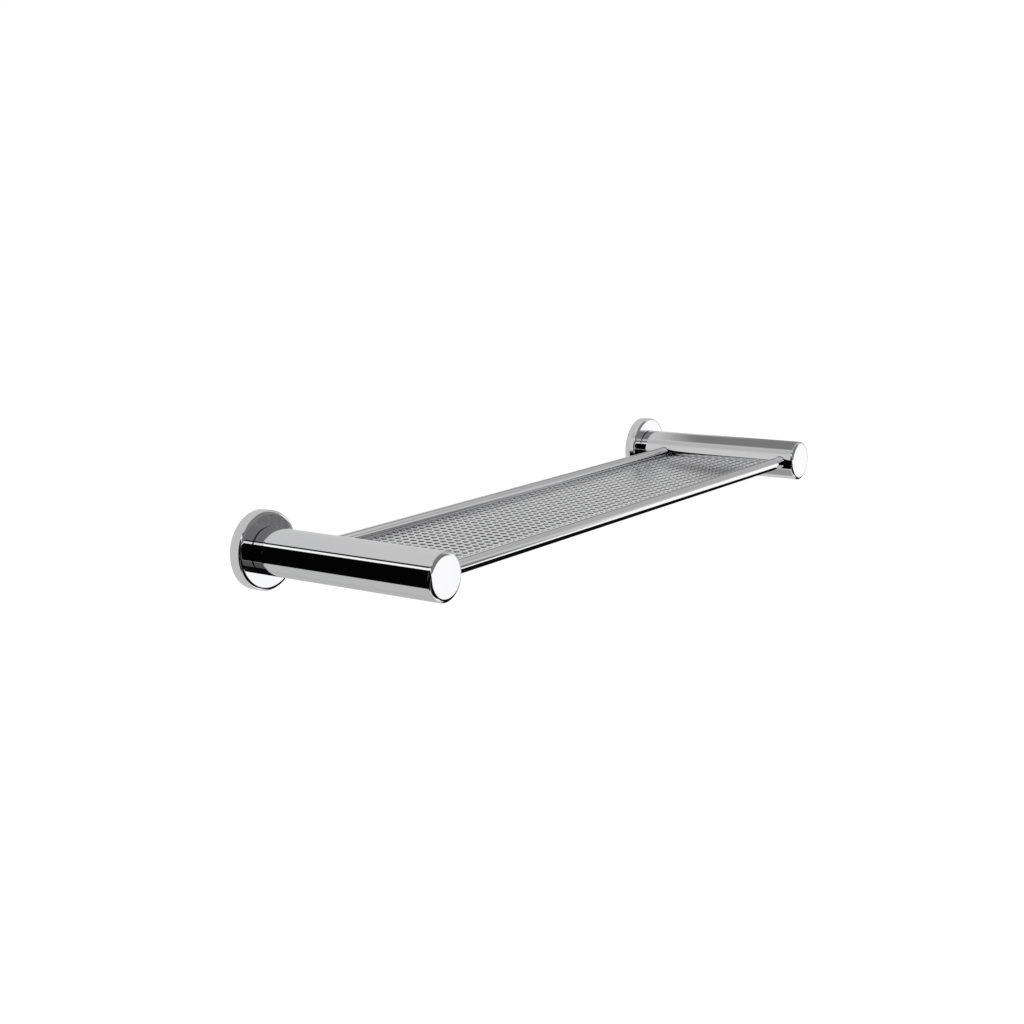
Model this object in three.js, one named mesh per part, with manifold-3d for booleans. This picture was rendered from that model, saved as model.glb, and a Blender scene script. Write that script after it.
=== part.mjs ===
// A wall-mounted towel rack: two round posts on wall roses carry two rails, with a metal shelf between them.
//
// Units are millimetres. +X runs along the rails, +Y points into the wall and +Z is up. The origin lies on
// the wall's face, midway between the posts and level with their axes. "Distance" always means distance
// from the wall.

import * as THREE from "three";
import { mergeVertices } from "three/addons/utils/BufferGeometryUtils.js";
import Module from "manifold-3d";

const wasm = await Module();
wasm.setup();

// Overall
const postSpacing = 500; // between the two post axes
const projection = 162; // wall to the posts' front faces

// Posts: a tube closed by a cap at the front and by a tapped plug at the wall
const postDiameter = 33;
const postWall = 2.5;
const capThickness = 3;
const capSpigotLength = 3;
const capCrownWidth = 3; // of the rounded edge, across the face
const capCrownDepth = 1.8;
const plugLength = 12;
const plugSpigotDiameter = 14; // centres the post in the rose

// Roses: cups that cover the wall brackets
const roseDiameter = 55;
const roseThickness = 9.3;
const roseFrontWall = 2.8;
const roseRimWall = 4;
const roseCrownWidth = 2.5;
const roseCrownDepth = 1.2;

// Wall brackets: grooved discs that the roses lock on to
const bracketScrewHole = 4.5;
const bracketScrewHead = 8.5; // across its countersink
const grooveDepth = 0.8;

// Screws
const fixingScrew = {
  diameter: 6,
  length: 14, // under the head
  headDiameter: 10.5,
  headHeight: 3.3,
  socket: 4, // across its flats
  socketDepth: 2,
};
const railSetScrew = {
  diameter: 4,
  tip: 0.8, // the cone's height and its radial step
  socket: 2,
  socketDepth: 2,
};
const roseSetScrew = {
  diameter: 3,
  tip: 0.6,
  socket: 1.5,
  socketDepth: 1.5,
};
const screwRecess = 0.3; // how far a set screw sits below the surface
const washerThickness = 1.2;
const washerOverhang = 1.2; // of the washer on the rose, all round its bore

// Rails and shelf
const railDiameter = 10;
const railWall = 1.2;
const rearRailDistance = 34;
const railToCap = 1; // front rail to the cap's spigot
const railEntry = 6; // how far a rail's end passes the post's axis
const railPlugLength = 18;
const shelfThickness = 1.2;
const shelfLip = 4; // height of its folded edges
const shelfDrop = 1; // rails' axes down to its top
const shelfEndGap = 0.8; // shelf end to post

// Fits
const fitGap = 0.3; // between a piece and the piece that it fits in or touches
const bracketGap = 0.5; // between a bracket and the rose round it, or the washer in it

// Facets
const wideFacets = 48; // posts, roses and brackets
const railFacets = 24;
const screwFacets = 16;
const edgeSteps = 4; // on a rounded edge
const weldTolerance = 1e-4;

// Places that several pieces share
const postRadius = postDiameter / 2;
const postBore = postRadius - postWall;
const capSeat = projection - capThickness;
const roseRadius = roseDiameter / 2;
const roseRecess = roseRadius - roseRimWall;
const roseFloor = roseThickness - roseFrontWall;
const roseBore = plugSpigotDiameter / 2 + fitGap;
const washerRadius = roseBore + washerOverhang;
const bracketRadius = roseRecess - bracketGap;
const bracketBore = washerRadius + bracketGap;
const bracketThickness = roseFloor - bracketGap;
const grooveFloorRadius = bracketRadius - grooveDepth;
const grooveDistance = bracketThickness / 2;
const grooveFloorHalf = roseSetScrew.diameter / 2 - roseSetScrew.tip + fitGap;
const grooveMouthHalf = grooveFloorHalf + grooveDepth;
const railRadius = railDiameter / 2;
const railLength = postSpacing + 2 * railEntry;
const frontRailDistance = capSeat - capSpigotLength - railToCap - railRadius;

const finishes = {
  chrome: new THREE.MeshStandardMaterial({ color: 0xdcdddf, metalness: 1, roughness: 0.06 }),
  shelfSteel: new THREE.MeshStandardMaterial({ color: 0xc6c7c9, metalness: 1, roughness: 0.22 }),
  bracketZinc: new THREE.MeshStandardMaterial({ color: 0x9a9ca0, metalness: 1, roughness: 0.5 }),
  screwSteel: new THREE.MeshStandardMaterial({ color: 0x8f9194, metalness: 1, roughness: 0.35 }),
  rawBrass: new THREE.MeshStandardMaterial({ color: 0xb8934e, metalness: 1, roughness: 0.4 }),
};

// The points of an outline's rounded corner, a quarter ellipse from the radial direction to the axial one.
function roundedCorner(radius, height, width, depth) {
  const steps = Array.from({ length: edgeSteps + 1 }, (_, i) => (i / edgeSteps) * (Math.PI / 2));
  return steps.map((turn) => [
    radius - width + width * Math.cos(turn),
    height - depth + depth * Math.sin(turn),
  ]);
}

// Turns an outline of [radius, height] points, listed anticlockwise, about the Y axis.
function turned(outline, facets) {
  const points = outline.map(([radius, height]) => new THREE.Vector2(radius, height));
  if (points[0].x > 0) points.push(points[0].clone());
  return new THREE.LatheGeometry(points, facets);
}

// The same, with each height a distance from the wall.
function turnedFromWall(outline, facets = wideFacets) {
  return turned(outline, facets).rotateX(Math.PI);
}

// A geometry as a solid that can be cut.
function solid(geometry) {
  const bare = geometry.clone();
  bare.deleteAttribute("normal");
  bare.deleteAttribute("uv");
  const welded = mergeVertices(bare, weldTolerance);
  return new wasm.Manifold(
    new wasm.Mesh({
      numProp: 3,
      vertProperties: welded.attributes.position.array,
      triVerts: new Uint32Array(welded.index.array),
    }),
  );
}

// A geometry with the tools cut away from it.
function cut(geometry, ...tools) {
  const body = tools.reduce((rest, tool) => rest.subtract(solid(tool)), solid(geometry));
  const { vertProperties, triVerts } = body.getMesh();
  return new THREE.BufferGeometry()
    .setAttribute("position", new THREE.BufferAttribute(vertProperties, 3))
    .setIndex(new THREE.BufferAttribute(triVerts, 1));
}

// A cylinder from the Y axis outwards in a direction, at a distance from the wall, to cut a radial hole.
function radialTool(radius, reach, direction, distance, facets) {
  const tool = new THREE.CylinderGeometry(radius, radius, reach, facets).translate(0, reach / 2, 0);
  const turn = new THREE.Quaternion().setFromUnitVectors(new THREE.Vector3(0, 1, 0), direction);
  return tool.applyQuaternion(turn).translate(0, -distance, 0);
}

// A hole for a set screw, from the Y axis down through the underside of a round piece.
function screwHole(screw, reach, distance) {
  const down = new THREE.Vector3(0, 0, -1);
  return radialTool(screw.diameter / 2 + fitGap, reach, down, distance, screwFacets);
}

// A hexagonal key socket, centred on a height on the Y axis so that it cuts its depth into a face there.
function keySocket(acrossFlats, depth, height) {
  const radius = acrossFlats / Math.sqrt(3);
  const reach = 2 * depth;
  return new THREE.CylinderGeometry(radius, radius, reach, 6).translate(0, height, 0);
}

function wallBracket() {
  const disc = turnedFromWall([
    [bracketBore, 0],
    [bracketRadius, 0],
    [bracketRadius, grooveDistance - grooveMouthHalf],
    [grooveFloorRadius, grooveDistance - grooveFloorHalf],
    [grooveFloorRadius, grooveDistance + grooveFloorHalf],
    [bracketRadius, grooveDistance + grooveMouthHalf],
    [bracketRadius, bracketThickness],
    [bracketBore, bracketThickness],
  ]);
  const screwCircle = (bracketBore + grooveFloorRadius) / 2;
  const hole = bracketScrewHole / 2;
  const head = bracketScrewHead / 2;
  const screwHoles = [-1, 1].map((side) =>
    turnedFromWall(
      [
        [0, -1],
        [hole, -1],
        [hole, bracketThickness - (head - hole)],
        [head, bracketThickness],
        [head, bracketThickness + 1],
        [0, bracketThickness + 1],
      ],
      screwFacets,
    ).translate(side * screwCircle, 0, 0),
  );
  return cut(disc, ...screwHoles);
}

function rose() {
  const cup = turnedFromWall([
    [roseRecess, 0],
    [roseRadius, 0],
    ...roundedCorner(roseRadius, roseThickness, roseCrownWidth, roseCrownDepth),
    [roseBore, roseThickness],
    [roseBore, roseFloor],
    [roseRecess, roseFloor],
  ]);
  return cut(cup, screwHole(roseSetScrew, roseDiameter, grooveDistance));
}

function postTube(inward) {
  const tube = turnedFromWall([
    [postBore, roseThickness],
    [postRadius, roseThickness],
    [postRadius, capSeat],
    [postBore, capSeat],
  ]);
  const toOtherPost = new THREE.Vector3(inward, 0, 0);
  const holes = [rearRailDistance, frontRailDistance].flatMap((distance) => [
    radialTool(railRadius + fitGap, postDiameter, toOtherPost, distance, railFacets),
    screwHole(railSetScrew, postDiameter, distance),
  ]);
  return cut(tube, ...holes);
}

function postCap() {
  const spigot = postBore - fitGap;
  return turnedFromWall([
    [0, capSeat - capSpigotLength],
    [spigot, capSeat - capSpigotLength],
    [spigot, capSeat],
    [postRadius, capSeat],
    ...roundedCorner(postRadius, projection, capCrownWidth, capCrownDepth),
    [0, projection],
  ]);
}

function postPlug() {
  const thread = fixingScrew.diameter / 2 + fitGap;
  const spigot = plugSpigotDiameter / 2;
  const body = postBore - fitGap;
  const spigotEnd = roseFloor + fitGap;
  return turnedFromWall([
    [thread, spigotEnd],
    [spigot, spigotEnd],
    [spigot, roseThickness],
    [body, roseThickness],
    [body, roseThickness + plugLength],
    [thread, roseThickness + plugLength],
  ]);
}

function postWasher() {
  const hole = fixingScrew.diameter / 2 + fitGap;
  return turnedFromWall(
    [
      [hole, roseFloor - washerThickness],
      [washerRadius, roseFloor - washerThickness],
      [washerRadius, roseFloor],
      [hole, roseFloor],
    ],
    railFacets,
  );
}

function postScrew() {
  const seat = roseFloor - washerThickness;
  const back = seat - fixingScrew.headHeight;
  const head = fixingScrew.headDiameter / 2;
  const shank = fixingScrew.diameter / 2;
  const body = turnedFromWall(
    [
      [0, back],
      [head, back],
      [head, seat],
      [shank, seat],
      [shank, seat + fixingScrew.length],
      [0, seat + fixingScrew.length],
    ],
    screwFacets,
  );
  return cut(body, keySocket(fixingScrew.socket, fixingScrew.socketDepth, -back));
}

// A set screw that stands on the Z axis from its socket, at height 0, up to its tip.
function keyedSetScrew(screw, length) {
  const radius = screw.diameter / 2;
  const body = turned(
    [
      [0, 0],
      [radius, 0],
      [radius, length - screw.tip],
      [radius - screw.tip, length],
      [0, length],
    ],
    screwFacets,
  );
  return cut(body, keySocket(screw.socket, screw.socketDepth, 0)).rotateX(Math.PI / 2);
}

// A set screw in the underside of a round piece of one radius, up to a round piece of another inside it.
function bottomSetScrew(screw, outerRadius, innerRadius) {
  const length = outerRadius - screwRecess - innerRadius - fitGap;
  const geometry = keyedSetScrew(screw, length);
  return geometry.translate(0, 0, screwRecess - outerRadius);
}

function rail() {
  const bore = railRadius - railWall;
  const outline = [
    [bore, -railLength / 2],
    [railRadius, -railLength / 2],
    [railRadius, railLength / 2],
    [bore, railLength / 2],
  ];
  return turned(outline, railFacets).rotateZ(Math.PI / 2);
}

function railPlug() {
  const radius = railRadius - railWall - fitGap;
  return new THREE.CylinderGeometry(radius, radius, railPlugLength, screwFacets).rotateZ(Math.PI / 2);
}

// A sheet with both long edges folded down beside the rails. Its top lies a little below the rails' axes.
function shelf() {
  const length = postSpacing - postDiameter - 2 * shelfEndGap;
  const depth = frontRailDistance - rearRailDistance - railDiameter - 2 * fitGap;
  const fold = new THREE.BoxGeometry(length, depth, shelfLip).translate(0, 0, -shelfLip / 2);
  const hollow = new THREE.BoxGeometry(2 * length, depth - 2 * shelfThickness, 2 * shelfLip);
  const sheet = cut(fold, hollow.translate(0, 0, -shelfThickness - shelfLip));
  return sheet.translate(0, 0, -shelfDrop);
}

// Adds a named piece to a group, at a place in it.
function add(group, name, geometry, material, x = 0, y = 0) {
  const mesh = new THREE.Mesh(geometry, material);
  mesh.name = name;
  mesh.position.set(x, y, 0);
  group.add(mesh);
}

// One post with its rose, wall bracket and fasteners. Inward is the X direction of the other post.
function postAssembly(side, inward) {
  const group = new THREE.Group();
  group.position.x = (-inward * postSpacing) / 2;
  add(group, `${side}_wall_bracket`, wallBracket(), finishes.bracketZinc);
  add(group, `${side}_rose`, rose(), finishes.chrome);
  const roseScrew = bottomSetScrew(roseSetScrew, roseRadius, grooveFloorRadius);
  add(group, `${side}_rose_set_screw`, roseScrew, finishes.screwSteel, 0, -grooveDistance);
  add(group, `${side}_post_tube`, postTube(inward), finishes.chrome);
  add(group, `${side}_post_end_cap`, postCap(), finishes.chrome);
  add(group, `${side}_post_rear_plug`, postPlug(), finishes.rawBrass);
  add(group, `${side}_post_washer`, postWasher(), finishes.screwSteel);
  add(group, `${side}_post_screw`, postScrew(), finishes.screwSteel);
  for (const [end, distance] of [["rear", rearRailDistance], ["front", frontRailDistance]]) {
    const name = `${side}_${end}_rail_set_screw`;
    const railScrew = bottomSetScrew(railSetScrew, postRadius, railRadius);
    add(group, name, railScrew, finishes.screwSteel, 0, -distance);
  }
  return group;
}

// The two rails with the plugs in their ends, and the shelf between them.
function shelfAssembly() {
  const group = new THREE.Group();
  for (const [end, distance] of [["rear", rearRailDistance], ["front", frontRailDistance]]) {
    add(group, `${end}_rail`, rail(), finishes.chrome, 0, -distance);
    for (const [side, direction] of [["left", -1], ["right", 1]]) {
      const x = (direction * (railLength - railPlugLength)) / 2;
      add(group, `${end}_rail_${side}_plug`, railPlug(), finishes.rawBrass, x, -distance);
    }
  }
  const middle = -(rearRailDistance + frontRailDistance) / 2;
  add(group, "perforated_shelf", shelf(), finishes.shelfSteel, 0, middle);
  return group;
}

const towelRack = new THREE.Group();
towelRack.add(postAssembly("left", 1), postAssembly("right", -1), shelfAssembly());

export default towelRack;
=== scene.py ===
"""The finished surfaces, metals and studio of a wall-mounted towel rack.

Two round posts stand on wall roses and carry two rails with a perforated shelf between them. Every
piece takes its place and size from the solid that it stands for. Lengths are metres. +X runs along the
rails, +Y points into the wall and +Z is up.
"""

import logging
import math
from collections.abc import Callable, Iterator, Sequence
from dataclasses import dataclass, field
from enum import Enum

import bpy
import numpy as np
from mathutils import Matrix, Vector


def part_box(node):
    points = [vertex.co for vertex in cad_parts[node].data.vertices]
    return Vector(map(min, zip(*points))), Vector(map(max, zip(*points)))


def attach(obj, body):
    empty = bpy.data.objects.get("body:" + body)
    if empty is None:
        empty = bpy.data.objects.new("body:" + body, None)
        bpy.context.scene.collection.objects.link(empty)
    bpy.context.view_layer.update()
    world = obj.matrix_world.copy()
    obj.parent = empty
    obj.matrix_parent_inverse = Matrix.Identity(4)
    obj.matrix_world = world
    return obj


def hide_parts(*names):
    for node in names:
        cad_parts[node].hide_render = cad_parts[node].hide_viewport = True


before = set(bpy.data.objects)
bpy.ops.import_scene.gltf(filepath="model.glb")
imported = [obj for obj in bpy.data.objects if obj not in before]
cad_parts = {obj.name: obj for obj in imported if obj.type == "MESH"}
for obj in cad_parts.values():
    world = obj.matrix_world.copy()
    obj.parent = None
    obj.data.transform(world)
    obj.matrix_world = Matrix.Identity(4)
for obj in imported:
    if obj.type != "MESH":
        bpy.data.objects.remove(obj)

LOG = logging.getLogger("towel_rack")
MM = 0.001
BODY = "root"
WEAR_ATTRIBUTE = "edge_wear"
THREAD_ROWS = 8  # rows of faces in one turn of a thread
THREAD_DEPTH = 0.5  # of its pitch
THREAD_FADE = 0.8  # of its pitch, over which its depth fades at each end
THREAD_EDGE = 0.4  # how strongly it counts as an edge
WELD_SHIFT = 0.27  # of a weld's width, which keeps round coordinates off the border of two bins
ROUNDING = 1e-6  # slack for the rounding error of a count

Pair = tuple[float, float]
Socket = bpy.types.NodeSocket
Sockets = dict[str, Socket]
Lift = Callable[[np.ndarray, np.ndarray], tuple[np.ndarray, np.ndarray]]
Rim = Callable[[np.ndarray], tuple[np.ndarray, np.ndarray]]


# ---- Shapes: patches of surface, each worked out as whole arrays with its own exact normals ----


@dataclass(frozen=True)
class Patch:
    """A piece of surface.

    Args:
        points: One row of x, y, z for each point.
        normals: The outward direction at each point.
        quads: Four point numbers for each face, anticlockwise seen from outside.
        edge: How strongly this patch counts as an edge for wear, from 0 to 1.
    """

    points: np.ndarray
    normals: np.ndarray
    quads: np.ndarray
    edge: float = 0.0


@dataclass(frozen=True)
class Axis:
    """A turning axis with a direction at right angles to it from which angles are counted.

    Args:
        origin: A point on the axis, where heights are 0.
        along: Unit vector in which heights grow.
        first: Unit vector in which the angle is 0.
    """

    origin: Sequence[float]
    along: Sequence[float]
    first: Sequence[float]

    @property
    def ahead(self) -> np.ndarray:
        """The direction in which heights grow, as an array."""
        return np.asarray(self.along, float)

    @property
    def second(self) -> np.ndarray:
        """The direction in which the angle is a quarter turn."""
        return np.cross(self.along, self.first)

    def spoke(self, angles: np.ndarray) -> np.ndarray:
        """Unit vectors away from the axis: cosine times first plus sine times second."""
        turn = np.asarray(angles)[..., None]
        return np.cos(turn) * np.asarray(self.first, float) + np.sin(turn) * self.second

    def place(self, radii: np.ndarray, heights: np.ndarray, angles: np.ndarray) -> np.ndarray:
        """Points: origin plus height along the axis plus radius along the spoke."""
        along, out = np.asarray(heights)[..., None], np.asarray(radii)[..., None]
        return np.asarray(self.origin, float) + (along * self.ahead + out * self.spoke(angles))

    def angle_of(self, direction: Sequence[float]) -> float:
        """The angle of a direction at right angles to the axis."""
        return math.atan2(float(np.dot(direction, self.second)), float(np.dot(direction, self.first)))


def grid_quads(rows: int, columns: int, around: bool) -> np.ndarray:
    """Numbers the faces of a grid of points.

    Args:
        rows: Rows of points.
        columns: Points in each row.
        around: Whether the last column joins the first.

    Returns:
        Four point numbers for each face, row by row: this point, the next in its row, and the two above.
    """
    row = np.arange(rows - 1)[:, None]
    column = np.arange(columns if around else columns - 1)[None, :]
    after = (column + 1) % columns
    corners = [row * columns + column, row * columns + after]
    corners += [(row + 1) * columns + after, (row + 1) * columns + column]
    return np.stack(np.broadcast_arrays(*corners), axis=-1).reshape(-1, 4)


@dataclass
class Outline:
    """A closed outline of radius and height, drawn anticlockwise, as straight and round stretches.

    Args:
        at: Where the pen stands: radius and height.
        stretches: The stretches so far: points, normals and whether each counts as an edge.
    """

    at: Pair
    stretches: list[tuple[np.ndarray, np.ndarray, float]] = field(default_factory=list)

    def line(self, radius: float, height: float, steps: int = 1, edge: float = 0.0) -> "Outline":
        """Draws a straight stretch, whose normal is its direction turned a quarter clockwise.

        Args:
            radius: Radius of its end.
            height: Height of its end.
            steps: Number of equal steps on it.
            edge: How strongly it counts as an edge.

        Returns:
            This outline.
        """
        start, end = np.array(self.at, float), np.array((radius, height), float)
        share = np.linspace(0.0, 1.0, steps + 1)[:, None]
        points = start + share * (end - start)
        step = (end - start) / np.linalg.norm(end - start)
        normals = np.broadcast_to((step[1], -step[0]), points.shape)
        self.stretches.append((points, normals, edge))
        self.at = (radius, height)
        return self

    def corner(self, radius: float, height: float, size: Pair, steps: int = 8) -> "Outline":
        """Draws a straight stretch and then a round corner, a quarter ellipse that turns left.

        Its points are its centre less its second size times the cosine to the left, plus its first size
        times the sine ahead.

        Args:
            radius: Radius of the sharp corner that the round one replaces.
            height: Height of that corner.
            size: How far the round corner reaches before the sharp one and after it.
            steps: Number of steps on it.

        Returns:
            This outline.
        """
        start, sharp = np.array(self.at, float), np.array((radius, height), float)
        before, after = size
        heading = (sharp - start) / np.linalg.norm(sharp - start)
        left = np.array((-heading[1], heading[0]))
        self.line(*(sharp - before * heading))
        centre = sharp - before * heading + after * left
        turn = np.linspace(0.0, math.pi / 2, steps + 1)[:, None]
        points = centre - after * left * np.cos(turn) + before * heading * np.sin(turn)
        normals = after * heading * np.sin(turn) - before * left * np.cos(turn)
        self.stretches.append((points, normals / np.linalg.norm(normals, axis=1, keepdims=True), 1.0))
        self.at = tuple(points[-1])
        return self


def even_angles(count: int) -> np.ndarray:
    """Equal angles all the way round."""
    return np.arange(count) * (2 * math.pi / count)


def revolve(outline: Outline, axis: Axis, angles: np.ndarray) -> list[Patch]:
    """Turns an outline about an axis: each point becomes a ring of its radius at its height.

    Args:
        outline: The outline.
        axis: The axis.
        angles: Where on each ring its points lie.

    Returns:
        One patch for each stretch of the outline.
    """
    patches = []
    for points, normals, edge in outline.stretches:
        radii, heights, turn = points[:, :1], points[:, 1:], angles[None, :]
        shape = (len(points), len(angles))
        placed = axis.place(
            np.broadcast_to(radii, shape), np.broadcast_to(heights, shape), np.broadcast_to(turn, shape)
        )
        facing = normals[:, 1, None, None] * axis.ahead
        facing = facing + normals[:, 0, None, None] * axis.spoke(turn)
        quads = grid_quads(*shape, around=True)
        patches.append(Patch(placed.reshape(-1, 3), facing.reshape(-1, 3), quads, edge))
    return patches


@dataclass(frozen=True)
class Window:
    """A block of a grid's cells that is left open round a hole.

    Args:
        columns: First and last grid line of the block round the axis.
        rows: First and last grid line of the block along the other direction.
        rim: Gives the hole's edge in the grid's two coordinates for an array of angles round the hole.
    """

    columns: tuple[int, int]
    rows: tuple[int, int]
    rim: Rim

    def frame(self) -> tuple[np.ndarray, np.ndarray]:
        """Grid line numbers of the block's border, once round from its lowest corner."""
        (c0, c1), (r0, r1) = self.columns, self.rows
        across, up = np.arange(c0, c1), np.arange(r0, r1)
        columns = np.concatenate([across, np.full(up.size, c1), c1 - across + c0, np.full(up.size, c0)])
        rows = np.concatenate([np.full(across.size, r0), up, np.full(across.size, r1), r1 - up + r0])
        return columns, rows

    def turns(self) -> np.ndarray:
        """Angles round the hole that match the border's points, with a corner at each odd eighth turn."""
        (c0, c1), (r0, r1) = self.columns, self.rows
        sides = [c1 - c0, r1 - r0, c1 - c0, r1 - r0]
        return np.concatenate(
            [(np.arange(n) / n + side - 0.5) * (math.pi / 2) for side, n in enumerate(sides)]
        ) - math.pi / 2


def pierced(
    u_lines: np.ndarray,
    v_lines: np.ndarray,
    windows: Sequence[Window],
    lift: Lift,
    around: bool,
    flip: bool = False,
    bands: int = 2,
) -> list[Patch]:
    """Covers a surface of two coordinates with a grid that leaves round holes open.

    Between the border of a hole's window and the hole's rim the points are blends of the two: the rim's
    share runs from 0 at the border to 1.

    Args:
        u_lines: Grid lines of the first coordinate.
        v_lines: Grid lines of the second.
        windows: The holes.
        lift: Gives points and normals for the two coordinates.
        around: Whether the first coordinate closes on itself.
        flip: Turns the faces round, for a surface seen from its other side.
        bands: Rows of faces between rim and border.

    Returns:
        The patches.
    """
    rows, columns = v_lines.size, u_lines.size
    u, v = np.meshgrid(u_lines, v_lines)
    points, normals = lift(u.ravel(), v.ravel())
    quads = grid_quads(rows, columns, around)
    cells = quads[:, 0]
    kept = np.ones(len(quads), bool)
    for window in windows:
        (c0, c1), (r0, r1) = window.columns, window.rows
        column, row = cells % columns, cells // columns
        kept &= ~((column >= c0) & (column < c1) & (row >= r0) & (row < r1))
    patches = [Patch(points, normals, quads[kept])]
    for window in windows:
        border_columns, border_rows = window.frame()
        border = np.stack([u_lines[border_columns], v_lines[border_rows]], axis=-1)
        rim = np.stack(window.rim(window.turns()), axis=-1)
        share = np.linspace(0.0, 1.0, bands + 1)[:, None, None]
        blend = border + share * (rim - border)
        lifted, facing = lift(blend[..., 0].ravel(), blend[..., 1].ravel())
        patches.append(Patch(lifted, facing, grid_quads(bands + 1, len(rim), around=True)))
    if flip:
        patches = [Patch(p.points, p.normals, p.quads[:, ::-1], p.edge) for p in patches]
    return patches


def hole_wall(outer: np.ndarray, inner: np.ndarray, inward: np.ndarray) -> Patch:
    """The wall of a hole between its two rims.

    Args:
        outer: Points of the rim on the outside, anticlockwise seen from outside.
        inner: Matching points of the other rim.
        inward: Directions from the wall towards the hole's middle.

    Returns:
        The patch.
    """
    points = np.concatenate([outer, inner])
    normals = np.concatenate([inward, inward])
    return Patch(points, normals, grid_quads(2, len(outer), around=True))


@dataclass(frozen=True)
class Block:
    """A stretch of a row of grid lines that has its own equal cells.

    Args:
        middle: Where it is centred.
        half: Half its width.
        cells: How many cells it has.
    """

    middle: float
    half: float
    cells: int


def ruled(start: float, end: float, blocks: Sequence[Block], step: float) -> tuple[np.ndarray, list[int]]:
    """Rules grid lines from start to end: each block's own cells, with nearly equal steps between blocks.

    Args:
        start: The first line.
        end: The last line.
        blocks: The blocks, in order.
        step: The widest step outside the blocks.

    Returns:
        The lines, and the number of the line at which each block begins.
    """
    stops = [start]
    for block in blocks:
        stops += [block.middle - block.half, block.middle + block.half]
    stops.append(end)
    cells = np.ceil(np.diff(stops) / step - ROUNDING).astype(int)
    cells[1::2] = [block.cells for block in blocks]
    spans = zip(stops, stops[1:], cells)
    lines = [np.linspace(low, high, count, endpoint=False) for low, high, count in spans]
    return np.concatenate([*lines, [end]]), list(np.cumsum(cells)[0:-1:2])


@dataclass(frozen=True)
class Bore:
    """A round hole drilled at right angles through a tube's wall.

    Args:
        radius: Its radius.
        turn: Its direction, as an angle about the tube's axis.
        height: Its place along the tube.
        reach: Half the width of the block of grid cells round it.
        cells: Cells along each side of that block.
    """

    radius: float
    turn: float
    height: float
    reach: float
    cells: int

    def rim(self, tube: float) -> Rim:
        """The hole's edge on a tube: a point's angle is the arcsine of its sideways offset over radius.

        Args:
            tube: Radius of the tube's wall.

        Returns:
            A function from angles round the hole to angles and heights on the tube.
        """
        return lambda turns: (
            self.turn + np.arcsin(self.radius * np.cos(turns) / tube),
            self.height + self.radius * np.sin(turns),
        )

    def inward(self, axis: Axis, turns: np.ndarray) -> np.ndarray:
        """Directions from the hole's wall to its middle: minus cosine sideways, minus sine along the tube."""
        sideways = np.cross(axis.along, axis.spoke(np.array(self.turn)))
        return -(np.cos(turns)[:, None] * sideways + np.sin(turns)[:, None] * axis.ahead)


def drilled_tube(
    axis: Axis, outer: float, inner: float, ends: Pair, bores: Sequence[Bore], steps: Pair
) -> tuple[list[Patch], np.ndarray]:
    """The outer and the inner wall of a tube, and the walls of the holes through them.

    A wall's point at an angle and a height is the spoke at that angle times the radius, at that height.

    Args:
        axis: The tube's axis.
        outer: Its outer radius.
        inner: Its inner radius.
        ends: Heights of its two ends.
        bores: The holes. Those in one direction are of one size, and at one height a smaller hole's block is
            the middle of the larger one's.
        steps: The widest steps outside the blocks, round the axis and along it.

    Returns:
        The patches, and the angles of the grid lines round the axis.
    """
    wide = sorted({bore.turn: bore for bore in bores}.values(), key=lambda bore: bore.turn)
    tall = sorted(bores, key=lambda bore: bore.cells)
    tall = sorted({bore.height: bore for bore in tall}.values(), key=lambda bore: bore.height)
    round_blocks = [Block(bore.turn, math.asin(bore.reach / outer), bore.cells) for bore in wide]
    long_blocks = [Block(bore.height, bore.reach, bore.cells) for bore in tall]
    first = round_blocks[0].middle - round_blocks[0].half
    turns, turn_starts = ruled(first, first + 2 * math.pi, round_blocks, steps[0])
    heights, height_starts = ruled(*ends, long_blocks, steps[1])
    turns = turns[:-1]
    columns = {bore.turn: start for bore, start in zip(wide, turn_starts)}
    rows = {bore.height: (start, bore.cells) for bore, start in zip(tall, height_starts)}
    patches: list[Patch] = []
    rims: list[list[np.ndarray]] = [[] for _ in bores]
    for radius, flip in ((outer, False), (inner, True)):

        def lift(u: np.ndarray, v: np.ndarray, radius: float = radius) -> tuple[np.ndarray, np.ndarray]:
            """Gives points and normals at an angle and a height."""
            return axis.place(np.array(radius), v, u), axis.spoke(u) * (-1.0 if flip else 1.0)

        windows = []
        for bore, edges in zip(bores, rims):
            column = columns[bore.turn]
            start, cells = rows[bore.height]
            row = start + (cells - bore.cells) // 2
            window = Window((column, column + bore.cells), (row, row + bore.cells), bore.rim(radius))
            windows.append(window)
            edges.append(lift(*window.rim(window.turns()))[0])
        patches += pierced(turns, heights, windows, lift, around=True, flip=flip)
    for bore, edges, window in zip(bores, rims, windows):
        patches.append(hole_wall(*edges, bore.inward(axis, window.turns())))
    return patches, turns


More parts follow.
